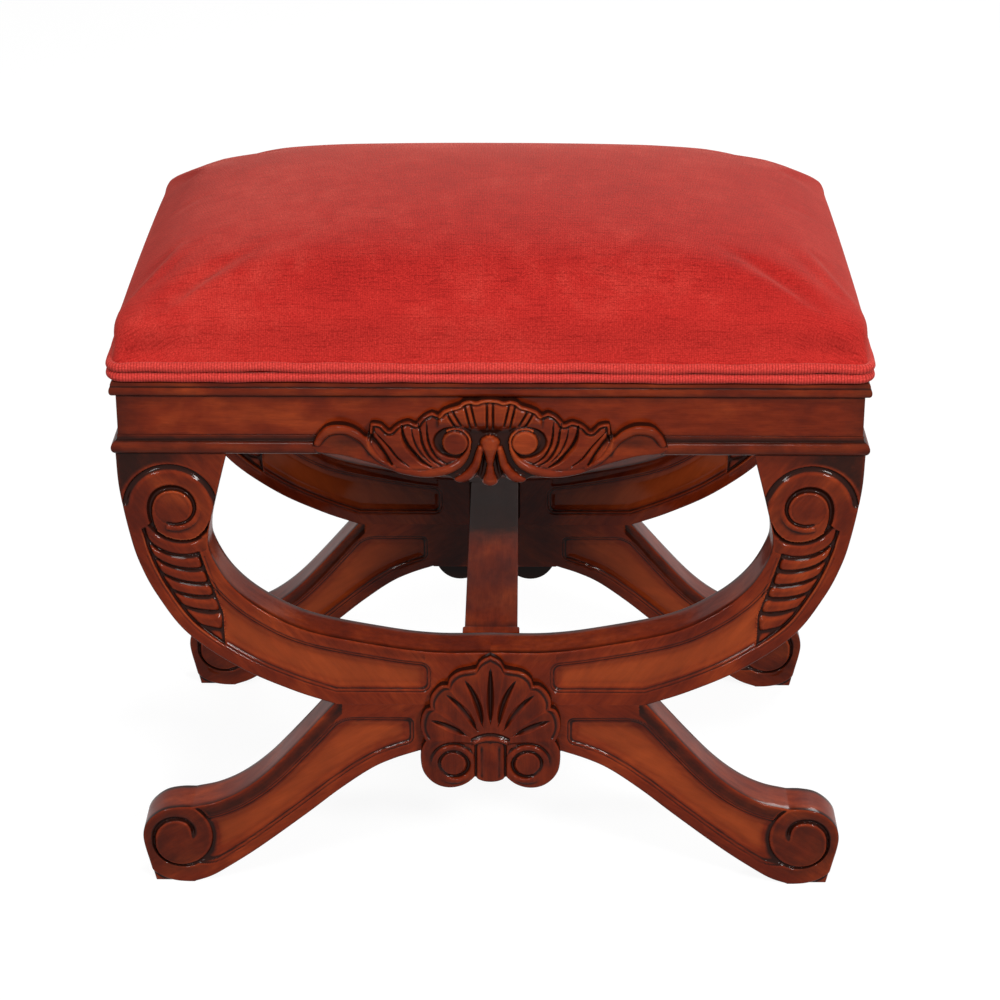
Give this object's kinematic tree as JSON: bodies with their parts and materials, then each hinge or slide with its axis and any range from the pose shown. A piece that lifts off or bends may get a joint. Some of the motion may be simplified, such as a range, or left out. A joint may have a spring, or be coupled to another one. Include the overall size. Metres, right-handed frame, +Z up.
{
  "type": "ottoman",
  "caption": "Upholstered footstool on two crossed scrolled wooden frames, with a stretcher, carved shells and a mitred apron.",
  "frame": {"origin": "centre of the footprint on the floor, under the middle of the seat", "axes": "+X along the width, +Y from the front to the back, +Z up"},
  "size_m": [0.5612, 0.392, 0.5171],
  "materials": {
    "mahogany": "glossy, french polished",
    "plain_wood": "bare",
    "plywood": "bare",
    "padding": "matte",
    "velvet": "soft sheen, fine cross rib",
    "piping": "soft sheen",
    "cambric": "matte",
    "screw_steel": "bright"
  },
  "bodies": {
    "root": {"rail_front": "mahogany", "rail_back": "mahogany", "rail_left": "mahogany", "rail_right": "mahogany", "top_bead_front": "mahogany", "top_bead_back": "mahogany", "top_bead_left": "mahogany", "top_bead_right": "mahogany", "low_bead_front": "mahogany", "low_bead_back": "mahogany", "low_bead_left": "mahogany", "low_bead_right": "mahogany", "corner_blocks": "plain_wood", "crest_front": "mahogany", "crest_back": "mahogany", "front_arm_left": "mahogany", "front_arm_right": "mahogany", "back_arm_left": "mahogany", "back_arm_right": "mahogany", "front_leg_left": "mahogany", "front_leg_right": "mahogany", "back_leg_left": "mahogany", "back_leg_right": "mahogany", "plaque_front": "mahogany", "plaque_back": "mahogany", "stretcher": "mahogany", "frame_dowels": "plain_wood", "rail_dowels": "plain_wood", "stretcher_dowels": "plain_wood", "seat_board": "plywood", "seat_pad": "padding", "seat_cover": "velvet", "welt_lower": "piping", "welt_upper": "piping", "dust_cover": "cambric", "seat_screws": "screw_steel"}
  },
  "joints": []
}
